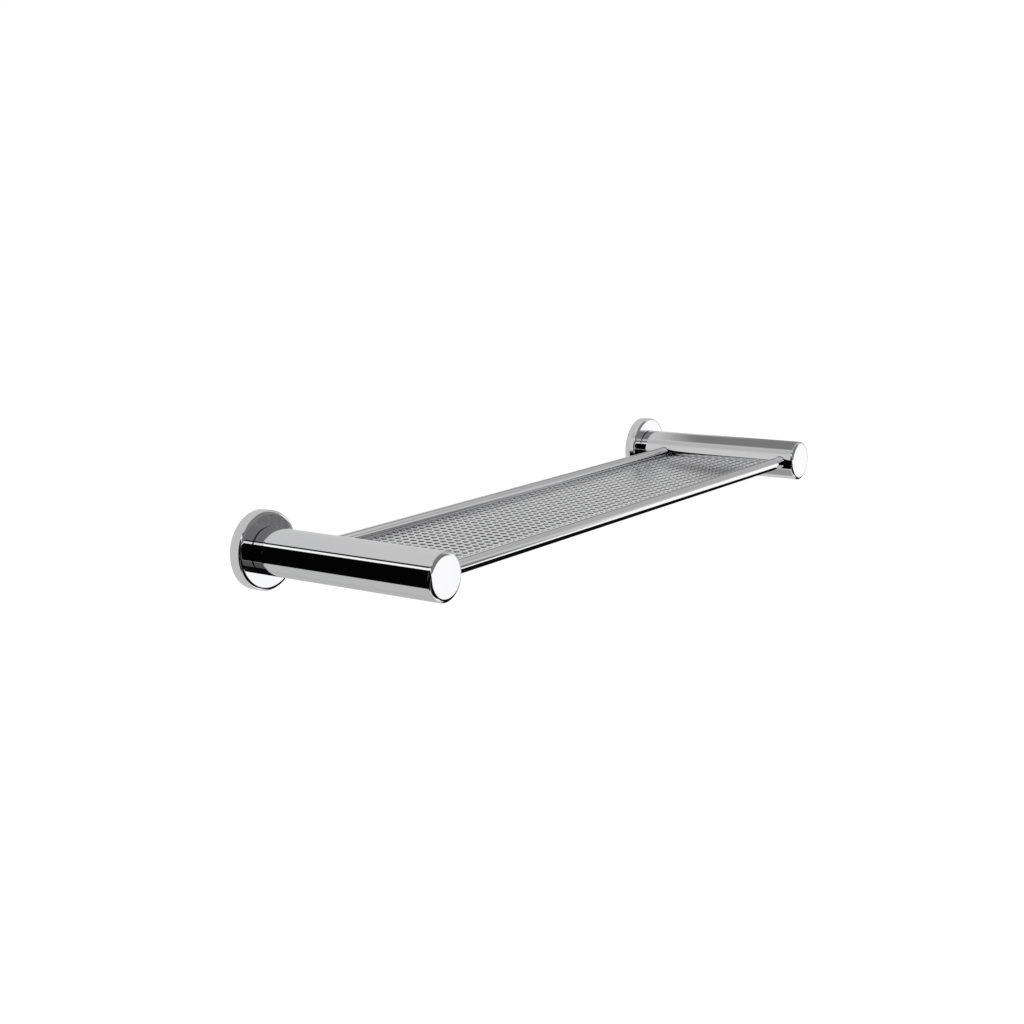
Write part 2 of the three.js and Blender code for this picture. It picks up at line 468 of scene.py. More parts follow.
def thread(axis: Axis, radius: float, pitch: float, ends: Pair, turns: np.ndarray) -> Patch:
    """A screw's threaded shank.

    The radius at an angle and a height is the crest's radius less the depth times a raised cosine of height
    over pitch less the angle's share of a turn. The depth fades out at both ends.

    Args:
        axis: The screw's axis.
        radius: Radius of the thread's crest.
        pitch: Rise of the thread in a turn.
        ends: Heights of its two ends.
        turns: Angles of the grid lines.

    Returns:
        The patch.
    """
    low, high = ends
    rows = math.ceil((high - low) / pitch * THREAD_ROWS) + 1
    heights = np.linspace(low, high, rows)[:, None]
    angles = np.broadcast_to(turns, (rows, len(turns)))
    fade = np.clip(np.minimum(heights - low, high - heights) / (THREAD_FADE * pitch), 0.0, 1.0)
    wave = (1.0 - np.cos(2 * math.pi * heights / pitch - angles)) / 2
    radii = radius - THREAD_DEPTH * pitch * fade * wave
    rise = np.gradient(radii, heights[:, 0], axis=0)
    swing = (np.roll(radii, -1, axis=1) - np.roll(radii, 1, axis=1)) / (turns[1] - turns[0]) / 2
    spokes = axis.spoke(angles)
    sideways = np.cross(axis.ahead, spokes)
    facing = spokes - rise[..., None] * axis.ahead - (swing / radii)[..., None] * sideways
    placed = axis.place(radii, np.broadcast_to(heights, radii.shape), angles)
    quads = grid_quads(*radii.shape, around=True)
    return Patch(placed.reshape(-1, 3), facing.reshape(-1, 3), quads, THREAD_EDGE)


@dataclass
class Skin:
    """The patches of one piece, which meet all round and so close it.

    Args:
        patches: The patches.
        weld: Points nearer than this become one.
    """

    patches: list[Patch]
    weld: float = 2e-7

    def piece(self, name: str) -> bpy.types.Object:
        """Makes the mesh and its object.

        Points that lie in one place are joined, and a face that loses a corner by that, at a pole, becomes a
        triangle. Each face's corners keep the normals of its own patch.

        Args:
            name: Name of the piece.

        Returns:
            The object, at the origin.
        """
        starts = np.cumsum([0] + [len(p.points) for p in self.patches[:-1]])
        points = np.concatenate([p.points for p in self.patches])
        normals = np.concatenate([p.normals for p in self.patches])
        quads = np.concatenate([p.quads + start for p, start in zip(self.patches, starts)])
        edges = np.concatenate([np.full(len(p.quads), p.edge) for p in self.patches])
        bins = np.floor(points / self.weld + WELD_SHIFT).astype(np.int64)
        _, first, owner = np.unique(bins, axis=0, return_index=True, return_inverse=True)
        corners = owner.reshape(-1)[quads]
        fresh = corners != np.roll(corners, 1, axis=1)
        whole = fresh.sum(axis=1) >= 3
        fresh &= whole[:, None]
        used, loops = np.unique(corners[fresh], return_inverse=True)
        sources = quads[fresh]
        counts = fresh.sum(axis=1)[whole]
        mesh = bpy.data.meshes.new(name)
        mesh.vertices.add(len(used))
        mesh.vertices.foreach_set("co", points[first[used]].astype(np.float32).ravel())
        mesh.loops.add(len(loops))
        mesh.loops.foreach_set("vertex_index", loops.reshape(-1).astype(np.int32))
        mesh.polygons.add(len(counts))
        mesh.polygons.foreach_set("loop_start", (np.cumsum(counts) - counts).astype(np.int32))
        mesh.update(calc_edges=True)
        mesh.polygons.foreach_set("use_smooth", np.ones(len(counts), bool))
        wear = mesh.attributes.new(WEAR_ATTRIBUTE, "FLOAT", "CORNER")
        wear.data.foreach_set("value", np.repeat(edges[whole], counts).astype(np.float32))
        lengths = np.linalg.norm(normals, axis=1, keepdims=True)
        mesh.normals_split_custom_set((normals / lengths)[sources].tolist())
        made = bpy.data.objects.new(name, mesh)
        bpy.context.scene.collection.objects.link(made)
        return made


# ---- Metals ----


@dataclass
class Graph:
    """A node tree with short ways to add nodes and links.

    Args:
        tree: The node tree.
    """

    tree: bpy.types.NodeTree

    def add(self, kind: str, feeds: dict | None = None, **settings: object) -> bpy.types.Node:
        """Adds a node.

        Args:
            kind: The node's type.
            feeds: What goes into its inputs, by name or number: a socket to link, or a value.
            **settings: The node's own settings.

        Returns:
            The node.
        """
        node = self.tree.nodes.new(kind)
        for name, value in settings.items():
            setattr(node, name, value)
        for key, value in (feeds or {}).items():
            self.feed(node.inputs[key], value)
        return node

    def feed(self, socket: Socket, value: object) -> None:
        """Links a socket to another, or gives it a value.

        Args:
            socket: The input.
            value: The socket to link to it, or its value.
        """
        if isinstance(value, Socket):
            self.tree.links.new(value, socket)
        else:
            socket.default_value = value

    def maths(self, operation: str, *values: object, clamp: bool = False) -> Socket:
        """A sum of one or more numbers, as the Math node's operation of that name."""
        feeds = dict(enumerate(values))
        return self.add("ShaderNodeMath", feeds, operation=operation, use_clamp=clamp).outputs[0]

    def ramp(
        self, value: object, low: float, high: float, start: float = 0.0, end: float = 1.0
    ) -> Socket:
        """Takes a number smoothly from start to end while it goes from low to high.

        Args:
            value: The number.
            low: Where it starts to rise.
            high: Where it is full.
            start: The result at low.
            end: The result at high.

        Returns:
            The result.
        """
        feeds = {"Value": value, "From Min": low, "From Max": high, "To Min": start, "To Max": end}
        return self.add("ShaderNodeMapRange", feeds, interpolation_type="SMOOTHSTEP").outputs["Result"]

    def noise(self, vector: object, scale: object, detail: float, roughness: float = 0.5) -> Socket:
        """Noise between 0 and 1 at a number of features to the metre."""
        feeds = {"Vector": vector, "Scale": scale, "Detail": detail, "Roughness": roughness}
        return self.add("ShaderNodeTexNoise", feeds).outputs["Fac"]


def clean_graph(owner: bpy.types.ID) -> Graph:
    """Gives a material or a world an empty node tree."""
    owner.use_nodes = True
    owner.node_tree.nodes.clear()
    return Graph(owner.node_tree)


class Effect:
    """A surface effect that several metals share, as a node group that is made once."""

    title = ""
    takes: dict[str, tuple[str, object]] = {}
    gives: Sequence[str] = ()

    def tree(self) -> bpy.types.NodeTree:
        """The node group, made when it is first asked for."""
        known = bpy.data.node_groups.get(self.title)
        if known:
            return known
        tree = bpy.data.node_groups.new(self.title, "ShaderNodeTree")
        for name, (kind, default) in self.takes.items():
            socket = tree.interface.new_socket(name, in_out="INPUT", socket_type=kind)
            if default is not None:
                socket.default_value = default
        for name in self.gives:
            tree.interface.new_socket(name, in_out="OUTPUT", socket_type="NodeSocketFloat")
        graph = Graph(tree)
        entry = graph.add("NodeGroupInput")
        made = self.work(graph, {name: entry.outputs[name] for name in self.takes})
        graph.add("NodeGroupOutput", made)
        return tree

    def work(self, graph: Graph, given: Sockets) -> Sockets:
        """Adds the group's nodes and says what goes to each output.

        Args:
            graph: The group's nodes.
            given: The group's inputs by name.

        Returns:
            What goes to each output, by name.
        """
        raise NotImplementedError

    def place(self, graph: Graph, **feeds: object) -> bpy.types.Node:
        """Puts the group into a material with its own values.

        Args:
            graph: The material's nodes.
            **feeds: What goes into the group's inputs.

        Returns:
            The group's node.
        """
        node = graph.add("ShaderNodeGroup", node_tree=self.tree())
        for name, value in feeds.items():
            graph.feed(node.inputs[name], value)
        return node


class PolishingLines(Effect):
    """Fine lines that polishing or brushing leaves: noise drawn out along the direction of the work."""

    title = "polishing lines"
    takes = {"Vector": ("NodeSocketVector", None), "Fineness": ("NodeSocketVector", None)}
    gives = ("Height",)
    fine_scale = 2.3
    fine_share = 0.5

    def work(self, graph: Graph, given: Sockets) -> Sockets:
        """Scales each direction by its fineness and adds two noises, one finer and weaker.

        Args:
            graph: The group's nodes.
            given: Its place and its fineness along each direction.

        Returns:
            The height.
        """
        feeds = {0: given["Vector"], 1: given["Fineness"]}
        drawn = graph.add("ShaderNodeVectorMath", feeds, operation="MULTIPLY").outputs[0]
        coarse = graph.noise(drawn, 1.0, 2.0, 0.6)
        fine = graph.noise(drawn, self.fine_scale, 3.0, 0.7)
        return {"Height": graph.maths("MULTIPLY_ADD", fine, self.fine_share, coarse)}


class HandMarks(Effect):
    """Faint cloudy marks where the surface was touched and wiped."""

    title = "hand marks"
    takes = {
        "Vector": ("NodeSocketVector", None),
        "Size": ("NodeSocketFloat", 25.0),
        "Amount": ("NodeSocketFloat", 1.0),
    }
    gives = ("Value",)
    cloud_range = (0.45, 0.75)
    streak_scale = 900.0

    def work(self, graph: Graph, given: Sockets) -> Sockets:
        """Keeps the upper part of a soft noise, broken up by a finer one.

        Args:
            graph: The group's nodes.
            given: Its place, the clouds' size and the amount.

        Returns:
            The value.
        """
        cloud = graph.ramp(graph.noise(given["Vector"], given["Size"], 3.0), *self.cloud_range)
        streak = graph.noise(given["Vector"], self.streak_scale, 2.0)
        marks = graph.maths("MULTIPLY", cloud, streak)
        return {"Value": graph.maths("MULTIPLY", marks, given["Amount"])}


class SettledDust(Effect):
    """Dust and dried drops on faces that look up."""

    title = "settled dust"
    takes = {"Vector": ("NodeSocketVector", None), "Amount": ("NodeSocketFloat", 1.0)}
    gives = ("Mask",)
    speck_scale, speck_range = 2600.0, (0.6, 0.72)
    cloud_scale, cloud_range = 35.0, (0.35, 0.7)
    upward_range = (0.35, 0.95)

    def work(self, graph: Graph, given: Sockets) -> Sockets:
        """Multiplies how far the face looks up by a clouded scatter of fine specks.

        Args:
            graph: The group's nodes.
            given: Its place and the amount.

        Returns:
            The mask.
        """
        facing = graph.add("ShaderNodeNewGeometry").outputs["Normal"]
        upward = graph.add("ShaderNodeSeparateXYZ", {0: facing}).outputs["Z"]
        specks = graph.ramp(graph.noise(given["Vector"], self.speck_scale, 2.0), *self.speck_range)
        clouds = graph.ramp(graph.noise(given["Vector"], self.cloud_scale, 2.0), *self.cloud_range)
        cover = graph.maths("MULTIPLY", specks, clouds)
        above = graph.maths("MULTIPLY", cover, graph.ramp(upward, *self.upward_range))
        return {"Mask": graph.maths("MULTIPLY", above, given["Amount"], clamp=True)}


class EdgeRub(Effect):
    """Edges that handling has dulled, in patches."""

    title = "edge rub"
    takes = {"Vector": ("NodeSocketVector", None), "Amount": ("NodeSocketFloat", 1.0)}
    gives = ("Mask",)
    patch_scale, patch_range = 300.0, (0.35, 0.65)

    def work(self, graph: Graph, given: Sockets) -> Sockets:
        """Multiplies the mesh's own edge value by a broken noise.

        Args:
            graph: The group's nodes.
            given: Its place and the amount of wear.

        Returns:
            The mask of wear.
        """
        edge = graph.add("ShaderNodeAttribute", attribute_name=WEAR_ATTRIBUTE).outputs["Fac"]
        broken = graph.ramp(graph.noise(given["Vector"], self.patch_scale, 3.0), *self.patch_range)
        worn = graph.maths("MULTIPLY", edge, broken)
        return {"Mask": graph.maths("MULTIPLY", worn, given["Amount"])}


@dataclass(frozen=True)
class Metal:
    """A metal finish.

    Args:
        name: What it is called.
        slot: The material slot that it is meant for. Not used.
        colour: Its clean colour.
        clouded: Its colour where it is clouded, tarnished or spangled.
        cloud_size: Clouds to the metre.
        cloud_amount: How much of the clouded colour shows, from 0 to 1.
        cloud_range: Values of the noise at which the clouds begin and are full.
        roughness: Roughness where it is clean.
        marks: How much rougher hand marks make it.
        fineness: Polishing lines to the metre along X, Y and Z.
        line_depth: Height of the polishing lines, in metres.
        rub: How much rougher the rubbed edges are.
        dust: How much dust lies on faces that look up.
        dust_colour: Colour of the dust.
        dust_roughness: How much rougher full dust makes it.
    """

    name: str
    slot: str
    colour: tuple[float, float, float]
    clouded: tuple[float, float, float]
    cloud_size: float = 60.0
    cloud_amount: float = 0.3
    cloud_range: Pair = (0.35, 0.7)
    roughness: float = 0.05
    marks: float = 0.05
    fineness: tuple[float, float, float] = (600.0, 600.0, 600.0)
    line_depth: float = 2e-7
    rub: float = 0.1
    dust: float = 0.2
    dust_colour: tuple[float, float, float] = (0.55, 0.54, 0.52)
    dust_roughness: float = 0.5

    def material(self) -> bpy.types.Material:
        """The material, made when it is first asked for."""
        known = bpy.data.materials.get(self.name)
        if known:
            return known
        material = bpy.data.materials.new(self.name)
        graph = clean_graph(material)
        where = graph.add("ShaderNodeTexCoord").outputs["Object"]
        marks = HandMarks().place(graph, Vector=where, Amount=self.marks).outputs["Value"]
        dust = SettledDust().place(graph, Vector=where, Amount=self.dust).outputs["Mask"]
        rub = EdgeRub().place(graph, Vector=where, Amount=self.rub).outputs["Mask"]
        lines = PolishingLines().place(graph, Vector=where, Fineness=self.fineness).outputs["Height"]
        noise = graph.noise(where, self.cloud_size, 4.0)
        clouds = graph.ramp(noise, *self.cloud_range, 0.0, self.cloud_amount)
        metal = self.mix(graph, clouds, (*self.colour, 1.0), (*self.clouded, 1.0))
        shown = self.mix(graph, dust, metal, (*self.dust_colour, 1.0))
        rough = graph.maths("ADD", graph.maths("ADD", marks, rub), self.roughness)
        rougher = graph.maths("MULTIPLY_ADD", dust, self.dust_roughness, rough, clamp=True)
        bump = graph.add("ShaderNodeBump", {"Height": lines, "Strength": 1.0, "Distance": self.line_depth})
        feeds = {
            "Base Color": shown,
            "Metallic": graph.maths("SUBTRACT", 1.0, dust),
            "Roughness": rougher,
            "Normal": bump.outputs["Normal"],
        }
        shader = graph.add("ShaderNodeBsdfPrincipled", feeds)
        graph.add("ShaderNodeOutputMaterial", {"Surface": shader.outputs["BSDF"]})
        return material

    @staticmethod
    def mix(graph: Graph, share: object, first: object, second: object) -> Socket:
        """Blends two colours by a share of the second."""
        feeds = {"Factor": share, 6: first, 7: second}
        return graph.add("ShaderNodeMix", feeds, data_type="RGBA").outputs[2]


CHROME = Metal(
    name="polished chrome",
    slot="chrome",
    colour=(0.80, 0.80, 0.81),
    clouded=(0.74, 0.745, 0.76),
    cloud_size=18.0,
    roughness=0.03,
    marks=0.03,
    line_depth=4e-8,
    rub=0.05,
    dust=0.12,
)
SHELF_STEEL = Metal(
    name="polished steel sheet",
    slot="shelf_steel",
    colour=(0.76, 0.76, 0.77),
    clouded=(0.70, 0.70, 0.71),
    cloud_size=22.0,
    roughness=0.13,
    marks=0.08,
    fineness=(60.0, 2200.0, 2200.0),
    line_depth=1.5e-6,
)
BRACKET_ZINC = Metal(
    name="plated zinc",
    slot="bracket_zinc",
    colour=(0.42, 0.43, 0.46),
    clouded=(0.30, 0.31, 0.33),
    cloud_size=180.0,
    cloud_amount=0.8,
    roughness=0.42,
    marks=0.12,
    fineness=(900.0, 900.0, 900.0),
    line_depth=8e-6,
    dust=0.3,
)
SCREW_STEEL = Metal(
    name="dark screw steel",
    slot="screw_steel",
    colour=(0.30, 0.31, 0.33),
    clouded=(0.20, 0.20, 0.22),
    cloud_size=400.0,
    cloud_amount=0.6,
    roughness=0.3,
    marks=0.1,
    fineness=(1500.0, 1500.0, 400.0),
    line_depth=3e-6,
    rub=0.15,
)
RAW_BRASS = Metal(
    name="turned brass",
    slot="raw_brass",
    colour=(0.62, 0.42, 0.16),
    clouded=(0.42, 0.27, 0.11),
    cloud_size=150.0,
    cloud_amount=0.7,
    roughness=0.28,
    marks=0.15,
    fineness=(1800.0, 300.0, 1800.0),
    line_depth=4e-6,
)


# ---- The rack's sub-assemblies ----


class Side(Enum):
    """The rack's two ends, each with the X direction in which the other one lies."""

    LEFT = 1.0
    RIGHT = -1.0

    def node(self, part: str) -> str:
        """The name of this side's own solid of a part."""
        return f"{self.name.lower()}_{part}"


@dataclass(frozen=True)
class Turned:
    """The measures of a solid that is round about one axis.

    Args:
        axis: Its axis.
        radius: Its greatest radius.
        start: Height of its lower end.
        end: Height of its upper end.
    """

    axis: Axis
    radius: float
    start: float
    end: float

    @classmethod
    def measured(cls, node: str, along: Sequence[float], first: Sequence[float]) -> "Turned":
        """Measures a turned solid from its box. Its radius is a quarter of the box's two widths together.

        Args:
            node: The solid's name.
            along: Direction of its axis. Heights are counted from the origin's plane.
            first: Direction of angle 0.

        Returns:
            The measures.
        """
        low, high = (np.array(corner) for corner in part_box(node))
        ahead = np.array(along, float)
        middle = (low + high) / 2
        start, end = sorted((float(low @ ahead), float(high @ ahead)))
        radius = float((high - low) @ (1 - np.abs(ahead))) / 4
        return cls(Axis(middle - ahead * (middle @ ahead), ahead, first), radius, start, end)


@dataclass(frozen=True)
class Piece:
    """A finished piece that stands for one solid.

    Args:
        node: The solid's name.
        metal: Its finish.
        patches: Its surface.
    """

    node: str
    metal: Metal
    patches: list[Patch]

    def install(self) -> None:
        """Makes the piece, dresses it and puts it in its solid's place."""
        made = Skin(self.patches).piece(f"{self.node}.finished")
        made.data.materials.append(self.metal.material())
        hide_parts(self.node)
        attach(made, BODY)
        LOG.info("%s: %d faces, %s", made.name, len(made.data.polygons), self.metal.name)


class SubAssembly:
    """Pieces that are put together on the bench as one."""

    def pieces(self) -> Iterator[Piece]:
        """The sub-assembly's pieces."""
        raise NotImplementedError

    def build(self) -> None:
        """Makes every piece."""
        for piece in self.pieces():
            piece.install()


def blank(inner: float, outer: float, start: float, end: float, chamfer: float) -> Outline:
    """The outline of a plain turned piece: a bore, or none, two flat ends and a wall with chamfered edges.

    Args:
        inner: Radius of the bore, or 0.
        outer: Radius of the wall.
        start: Height of the lower end.
        end: Height of the upper end.
        chamfer: Width of the chamfers.

    Returns:
        The outline.
    """
    outline = Outline((inner, start))
    outline.line(outer - chamfer, start).line(outer, start + chamfer, edge=1.0)
    outline.line(outer, end - chamfer).line(outer - chamfer, end, edge=1.0)
    outline.line(inner, end)
    return outline.line(inner, start) if inner else outline


@dataclass(frozen=True)
class HexSocket:
    """A hexagonal key socket in a screw's flat lower face.

    Args:
        across: Width across its flats.
        depth: Its depth.
    """

    across: float
    depth: float

    def cut(self, axis: Axis, face: float, rim: float, turns: np.ndarray) -> list[Patch]:
        """The socket's floor and walls and the face round it.

        The hexagon's radius at an angle is half its width across the flats over the cosine of the angle to
        the nearest flat's middle.

        Args:
            axis: The screw's axis.
            face: Height of the face.
            rim: Radius of the face.
            turns: Angles of the grid lines, with a line on each corner of the hexagon.

        Returns:
            The patches.
        """
        sixth = math.pi / 3
        hexagon = self.across / 2 / np.cos(turns % sixth - sixth / 2)
        floor = face + self.depth

        def ring(radii: np.ndarray, height: float) -> np.ndarray:
            """Points at one height, a radius for each angle."""
            return axis.place(radii, np.full(turns.shape, height), turns)

        centre = ring(np.zeros(turns.shape), floor)
        mouth, foot = ring(hexagon, face), ring(hexagon, floor)
        edge = ring(np.full(turns.shape, rim), face)
        flat_quads = grid_quads(2, len(turns), around=True)
        down = np.broadcast_to(-axis.ahead, (2 * len(turns), 3))
        flat = [Patch(np.concatenate(rings), down, flat_quads) for rings in ((centre, foot), (mouth, edge))]
        corners = np.stack([foot, np.roll(foot, -1, axis=0), np.roll(mouth, -1, axis=0), mouth], axis=1)
        middles = (np.floor(turns / sixth + ROUNDING) + 0.5) * sixth
        inward = np.repeat(-axis.spoke(middles), 4, axis=0)
        walls = Patch(corners.reshape(-1, 3), inward, np.arange(4 * len(turns)).reshape(-1, 4))
        return [*flat, walls]


@dataclass(frozen=True)
class SetScrew(SubAssembly):
    """A headless screw with a socket below and a cone point above.

    Args:
        node: The solid's name.
        pitch: Its thread's pitch.
        tip: Height and radial step of its point.
        socket: Its key socket.
        chamfer: Its chamfer round the socket.
        facets: Grid lines round it.
    """

    node: str
    pitch: float
    tip: float
    socket: HexSocket
    chamfer: float = 0.2 * MM
    facets: int = 36

    def pieces(self) -> Iterator[Piece]:
        """The screw."""
        screw = Turned.measured(self.node, along=(0, 0, 1), first=(1, 0, 0))
        turns = even_angles(self.facets)
        radius, start = screw.radius, screw.start + self.chamfer
        shoulder = screw.end - self.tip
        rim = Outline((radius - self.chamfer, screw.start)).line(radius, start, edge=1.0)
        point = Outline((radius, shoulder)).line(radius - self.tip, screw.end, edge=1.0).line(0, screw.end)
        patches = self.socket.cut(screw.axis, screw.start, radius - self.chamfer, turns)
        patches += revolve(rim, screw.axis, turns) + revolve(point, screw.axis, turns)
        patches.append(thread(screw.axis, radius, self.pitch, (start, shoulder), turns))
        yield Piece(self.node, SCREW_STEEL, patches)


RAIL_SET_SCREW = {"pitch": 0.7 * MM, "tip": 0.8 * MM, "socket": HexSocket(2 * MM, 2 * MM)}
ROSE_SET_SCREW = {"pitch": 0.5 * MM, "tip": 0.6 * MM, "socket": HexSocket(1.5 * MM, 1.5 * MM)}


@dataclass(frozen=True)
class WallBracket(SubAssembly):
    """The grooved disc that is screwed to the wall.

    Args:
        side: Its end of the rack.
        bore: Radius of its middle hole.
        screw_hole: Radius of its two screw holes at the wall.
        screw_head: Radius of their countersinks.
        groove_depth: Depth of the groove in its edge.
        groove_floor: Half the width of the groove's floor.
        window: Half the radial width of the block of grid cells round a screw hole.
        window_turn: Half that block's angle.
        window_cells: Cells along each side of the block.
        step: The widest step between grid lines round the disc.
    """

    side: Side
    bore: float = 9.0 * MM
    screw_hole: float = 2.25 * MM
    screw_head: float = 4.25 * MM
    groove_depth: float = 0.8 * MM
    groove_floor: float = 1.2 * MM
    window: float = 5.2 * MM
    window_turn: float = math.radians(20)
    window_cells: int = 8
    step: float = math.radians(3.5)

    def pieces(self) -> Iterator[Piece]:
        """The bracket."""
        node = self.side.node("wall_bracket")
        disc = Turned.measured(node, along=(0, -1, 0), first=(1, 0, 0))
        groove_bottom = disc.radius - self.groove_depth
        circle = (self.bore + groove_bottom) / 2
        blocks = [Block(turn, self.window_turn, self.window_cells) for turn in (0.0, math.pi)]
        turns, columns = ruled(-self.window_turn, 2 * math.pi - self.window_turn, blocks, self.step)
        turns = turns[:-1]
        spread = [Block(circle, self.window, self.window_cells)]
        radii, rows = ruled(self.bore, disc.radius, spread, self.window)
        patches = self.edge_and_bore(disc, groove_bottom, turns)
        for height, hole, flip in ((disc.start, self.screw_hole, False), (disc.end, self.screw_head, True)):

            def lift(u: np.ndarray, v: np.ndarray, height: float = height) -> tuple[np.ndarray, np.ndarray]:
                """Gives points and normals at an angle and a radius."""
                facing = np.broadcast_to(disc.axis.ahead * (1.0 if flip else -1.0), (len(u), 3))
                return disc.axis.place(v, np.full(len(u), height), u), facing

            windows = [
                Window((column, column + self.window_cells), (rows[0], rows[0] + self.window_cells), rim)
                for column, rim in zip(columns, [self.rim(circle, hole, block.middle) for block in blocks])
            ]
            patches += pierced(turns, radii, windows, lift, around=True, flip=flip)
        for block in blocks:
            patches += self.countersink(disc, circle, block.middle, windows[0].turns())
        yield Piece(node, BRACKET_ZINC, patches)

    def edge_and_bore(self, disc: Turned, groove_bottom: float, turns: np.ndarray) -> list[Patch]:
        """The grooved edge and the middle hole.

        Args:
            disc: The bracket's measures.
            groove_bottom: Radius of the groove's floor.
            turns: Angles of the grid lines.

        Returns:
            The patches.
        """
        middle = (disc.start + disc.end) / 2
        mouth = self.groove_floor + self.groove_depth
        outline = Outline((disc.radius, disc.start)).line(disc.radius, middle - mouth)
        outline.line(groove_bottom, middle - self.groove_floor)
        outline.line(groove_bottom, middle + self.groove_floor)
        outline.line(disc.radius, middle + mouth).line(disc.radius, disc.end)
        hole = Outline((self.bore, disc.end)).line(self.bore, disc.start)
        return revolve(outline, disc.axis, turns) + revolve(hole, disc.axis, turns)

    @staticmethod
    def rim(circle: float, hole: float, turn: float) -> Rim:
        """A hole's edge in the disc's angle and radius, from its offsets sideways and outwards.

        Args:
            circle: Radius at which the hole's middle lies.
            hole: Its radius.
            turn: Its angle on the disc.

        Returns:
            A function from angles round the hole to angles and radii on the disc.
        """
        return lambda angles: (
            turn + np.arctan2(hole * np.cos(angles), circle + hole * np.sin(angles)),
            np.hypot(hole * np.cos(angles), circle + hole * np.sin(angles)),
        )

    def countersink(self, disc: Turned, circle: float, turn: float, turns: np.ndarray) -> list[Patch]:
        """A screw hole's wall, counted from the wall outwards, and its countersink of 45 degrees.

        Args:
            disc: The bracket's measures.
            circle: Radius at which the hole's middle lies.
            turn: Its angle on the disc.
            turns: Angles of the grid lines round the hole.

        Returns:
            The patches.
        """
        spoke = disc.axis.spoke(np.array(turn))
        ahead = disc.axis.ahead
        hole = Axis(disc.axis.origin + circle * spoke, -ahead, np.cross(ahead, spoke))
        sink = disc.end - (self.screw_head - self.screw_hole)
        outline = Outline((self.screw_hole, -disc.start)).line(self.screw_hole, -sink)
        return revolve(outline.line(self.screw_head, -disc.end), hole, turns)


@dataclass(frozen=True)
class Rose(SubAssembly):
    """The polished cup at a post's foot, with the screw that locks it to its bracket.

    Args:
        side: Its end of the rack.
        rim_wall: Thickness of its rim.
        front_wall: Thickness of its front.
        edge: Size of its rounded front edge, back along the rim and across the front.
        back_edge: Chamfer at the wall.
        bore: Radius of its middle hole, for the plug's spigot.
        screw_gap: Between its screw and the hole for it.
        window: Half the width of the block of grid cells round that hole.
        cells: Cells along each side of the block.
        step: The widest steps between grid lines, round the axis and along it.
    """

    side: Side
    rim_wall: float = 4.0 * MM
    front_wall: float = 2.8 * MM
    edge: Pair = (1.2 * MM, 2.5 * MM)
    back_edge: float = 0.2 * MM
    bore: float = 7.3 * MM
    screw_gap: float = 0.3 * MM
    window: float = 2.4 * MM
    cells: int = 6
    step: Pair = (math.radians(2.5), 2.0 * MM)

    def pieces(self) -> Iterator[Piece]:
        """The rose and its set screw."""
        node, screw_node = self.side.node("rose"), self.side.node("rose_set_screw")
        cup = Turned.measured(node, along=(0, -1, 0), first=(1, 0, 0))
        screw = Turned.measured(screw_node, along=(0, 0, 1), first=(1, 0, 0))
        distance = -float(screw.axis.origin[1])
        recess, floor = cup.radius - self.rim_wall, cup.end - self.front_wall
        turn = cup.axis.angle_of((0, 0, -1))
        bore = Bore(screw.radius + self.screw_gap, turn, distance, self.window, self.cells)
        back = cup.start + self.back_edge
        walls, turns = drilled_tube(cup.axis, cup.radius, recess, (back, floor), [bore], self.step)
        rear = Outline((recess, back)).line(recess + self.back_edge, cup.start, edge=1.0)
        rear.line(cup.radius - self.back_edge, cup.start).line(cup.radius, back, edge=1.0)
        front = Outline((cup.radius, floor)).corner(cup.radius, cup.end, self.edge)
        front.line(self.bore, cup.end, steps=4).line(self.bore, floor).line(recess, floor)
        patches = walls + revolve(rear, cup.axis, turns) + revolve(front, cup.axis, turns)
        yield Piece(node, CHROME, patches)
        yield from SetScrew(screw_node, **ROSE_SET_SCREW).pieces()


